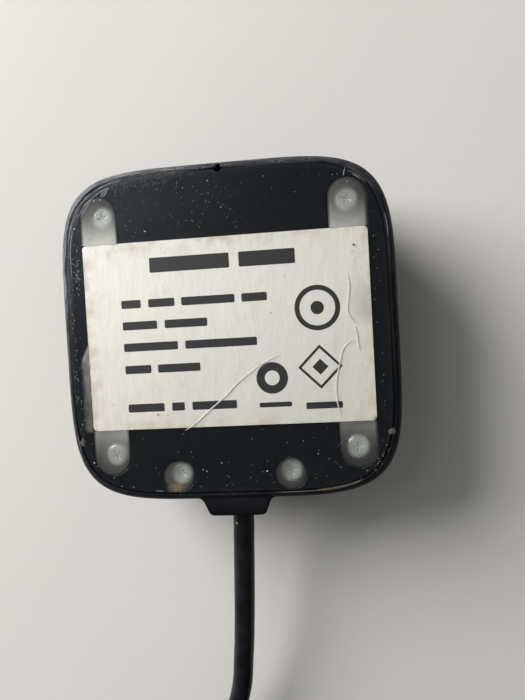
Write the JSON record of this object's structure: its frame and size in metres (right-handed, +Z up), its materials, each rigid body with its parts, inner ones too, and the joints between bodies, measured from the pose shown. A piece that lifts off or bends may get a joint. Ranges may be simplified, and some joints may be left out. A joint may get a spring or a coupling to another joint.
{
  "type": "remote gps antenna",
  "caption": "Square black magnetic-mount puck antenna shown base up, with a film-covered label and recessed screws, a thin coaxial lead wound in a tied coil, and a bayonet plug.",
  "frame": {"origin": "under the middle of the antenna, on the surface that its crown rests on; the lead, coil and plug are not counted", "axes": "+Z up, out of the magnetic base; +X to the right of the label as it is read; the lead leaves towards -Y"},
  "size_m": [0.054, 0.1431, 0.0146],
  "materials": {
    "housing": "fine moulded texture, black, worn grey at the rim",
    "plate": "smooth moulded black under the film",
    "film": "clear film, milky where it bridges the wells",
    "label": "satin printed label, slightly yellowed",
    "rubber": "soft black rubber",
    "nickel": "nickel plate",
    "zinc": "dull zinc plate",
    "board": "green solder mask",
    "tinned": "tin plate",
    "ceramic": "fired dielectric ceramic, unglazed",
    "silver": "fired silver",
    "tape": "double-sided foam tape",
    "chip": "moulded epoxy",
    "component": "fired chip body",
    "jacket": "satin black vinyl",
    "polyethylene": "natural polyethylene",
    "fluoropolymer": "white fluoropolymer",
    "gold": "gold plate",
    "silicone": "red silicone",
    "tie": "black hook-and-loop strap"
  },
  "bodies": {
    "root": {"radome": "housing", "base_plate": "plate", "housing_gasket": "rubber", "rating_label": "label", "base_film": "film", "magnet_left": "nickel", "magnet_right": "nickel", "screw_top_left": "zinc", "screw_top_right": "zinc", "screw_bottom_left": "zinc", "screw_bottom_right": "zinc", "screw_cable_left": "zinc", "screw_cable_right": "zinc", "amplifier_board": "board", "shield_can": "tinned", "patch_ceramic": "ceramic", "patch_electrode": "silver", "patch_tape": "tape", "patch_feed_pin": "tinned", "amplifier_chip": "chip", "saw_filter": "silver", "output_amplifier": "chip", "voltage_regulator": "chip", "bias_inductor": "component", "supply_capacitor": "component", "cable_grommet": "rubber", "pull_collar": "tinned", "lead_inlet": "jacket", "lead_shield_tail": "tinned", "lead_core_tail": "polyethylene", "plug_boot": "rubber", "crimp_ferrule": "nickel", "plug_body": "nickel", "plug_outer_contact": "nickel", "plug_insulator": "fluoropolymer", "plug_pin": "gold", "plug_seal": "silicone", "retaining_ring": "nickel", "wave_spring": "nickel", "lead_coil": "jacket", "coil_tie": "tie", "lead_run": "jacket", "lead_end": "jacket"},
    "nut_carrier": {"thrust_washer": "nickel"},
    "nut": {"coupling_nut": "nickel"}
  },
  "joints": [
    {"name": "coupling_slide", "type": "slide", "parent": "root", "child": "nut_carrier", "axis": [1, 0, 0], "range_m": [0, 0.001], "stiffness_N_per_m": 6000, "deforming": ["wave_spring"]},
    {"name": "coupling_spin", "type": "hinge", "parent": "nut_carrier", "child": "nut", "pos_m": [0.016, -0.115, 0.0073], "axis": [1, 0, 0], "continuous": true}
  ]
}
